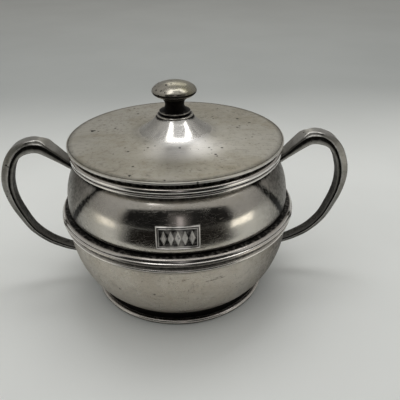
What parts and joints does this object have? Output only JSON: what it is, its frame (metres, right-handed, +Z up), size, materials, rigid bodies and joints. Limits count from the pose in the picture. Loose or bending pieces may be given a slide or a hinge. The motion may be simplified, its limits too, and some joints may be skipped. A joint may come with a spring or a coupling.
{
  "type": "covered sugar bowl",
  "caption": "Round covered sugar bowl in tarnished silver plate with a girdle moulding, foot ring, looped side handles and a lift-off lid with a flattened ball knob.",
  "frame": {"origin": "centre of the foot ring, on the surface the bowl stands on", "axes": "+Z up along the bowl's axis, +X along the line through both handles, the badge faces -Y"},
  "size_m": [0.1396, 0.094, 0.086],
  "materials": {
    "bowl_silver": "polished silver plate, finely scratched and tarnished",
    "moulding_silver": "polished silver plate with black tarnish in the grooves",
    "handle_silver": "cast, silver plated, dark with tarnish, bright on the edges",
    "badge_silver": "struck in low relief, oxidised ground",
    "lid_silver": "satin-worn silver plate with small dark pits",
    "knob_silver": "cast, silver plated, pitted and tarnished",
    "stud_brass": "dull turned brass"
  },
  "bodies": {
    "bowl": {"lower_body": "bowl_silver", "upper_body": "bowl_silver", "girdle_wire": "moulding_silver", "mouth_wire": "moulding_silver", "neck_bead": "moulding_silver", "foot_ring": "moulding_silver", "handle_left": "handle_silver", "handle_right": "handle_silver", "badge": "badge_silver"},
    "lid": {"lid_shell": "lid_silver", "lid_rim_wire": "lid_silver", "lid_bezel": "lid_silver", "knob": "knob_silver", "knob_collar": "knob_silver", "knob_stud": "stud_brass", "knob_washer": "stud_brass", "knob_nut": "stud_brass"}
  },
  "joints": [
    {"name": "lid_lift", "type": "slide", "parent": "bowl", "child": "lid", "axis": [0, 0, 1], "range_m": [0, 0.06]}
  ]
}
